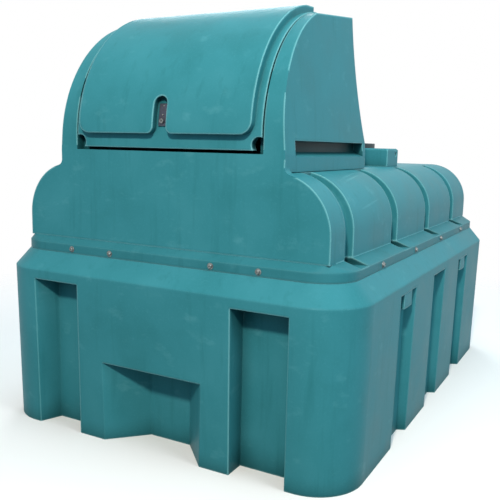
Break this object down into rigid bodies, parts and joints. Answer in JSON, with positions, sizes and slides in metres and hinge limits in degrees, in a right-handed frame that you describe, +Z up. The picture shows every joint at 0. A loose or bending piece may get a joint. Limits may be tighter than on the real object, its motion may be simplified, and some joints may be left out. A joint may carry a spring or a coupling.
{
  "type": "fuel storage tank",
  "caption": "Double-skinned moulded fuel storage tank: fluted bund, bolted flange, ribbed round-shouldered upper body and a cabinet with a curved lockable lid hinged at the top.",
  "frame": {"origin": "on the floor under the middle of the bund", "axes": "+Z up, -Y towards the front with the cabinet lid, +X to the right seen from behind the front face looking out; +Y along the tank to its rear"},
  "size_m": [1.65, 2.38, 1.7668],
  "materials": {
    "teal_plastic": "satin moulded polyethylene",
    "dark_plastic": "moulded cap",
    "lock_grey": "grey lock plate",
    "lock_metal": "lock barrel",
    "hinge_steel": "stainless hinge"
  },
  "bodies": {
    "tank": {"bund_tub": "teal_plastic", "cabinet_back": "teal_plastic", "cabinet_roof": "teal_plastic", "cheek_left": "teal_plastic", "cheek_right": "teal_plastic", "flange": "teal_plastic", "front_wall": "teal_plastic", "hatch_collar": "teal_plastic", "hatch_lid": "dark_plastic", "hinge_leaf_left": "hinge_steel", "hinge_leaf_right": "hinge_steel", "hinge_pin_left": "hinge_steel", "hinge_pin_right": "hinge_steel", "lift_block_left": "teal_plastic", "lift_block_right": "teal_plastic", "rear_wall": "teal_plastic", "tank_shell": "teal_plastic", "tie_lug_left_front": "teal_plastic", "tie_lug_left_rear": "teal_plastic", "tie_lug_right_front": "teal_plastic", "tie_lug_right_rear": "teal_plastic"},
    "lid": {"lid": "teal_plastic", "lock_plate": "lock_grey", "lock_barrel": "lock_metal", "hinge_strap_right": "hinge_steel", "hinge_strap_left": "hinge_steel"}
  },
  "joints": [
    {"name": "lid_hinge", "type": "hinge", "parent": "tank", "child": "lid", "pos_m": [0, -0.597, 1.74372], "axis": [-1, 0, 0], "range_deg": [0, 80]}
  ]
}
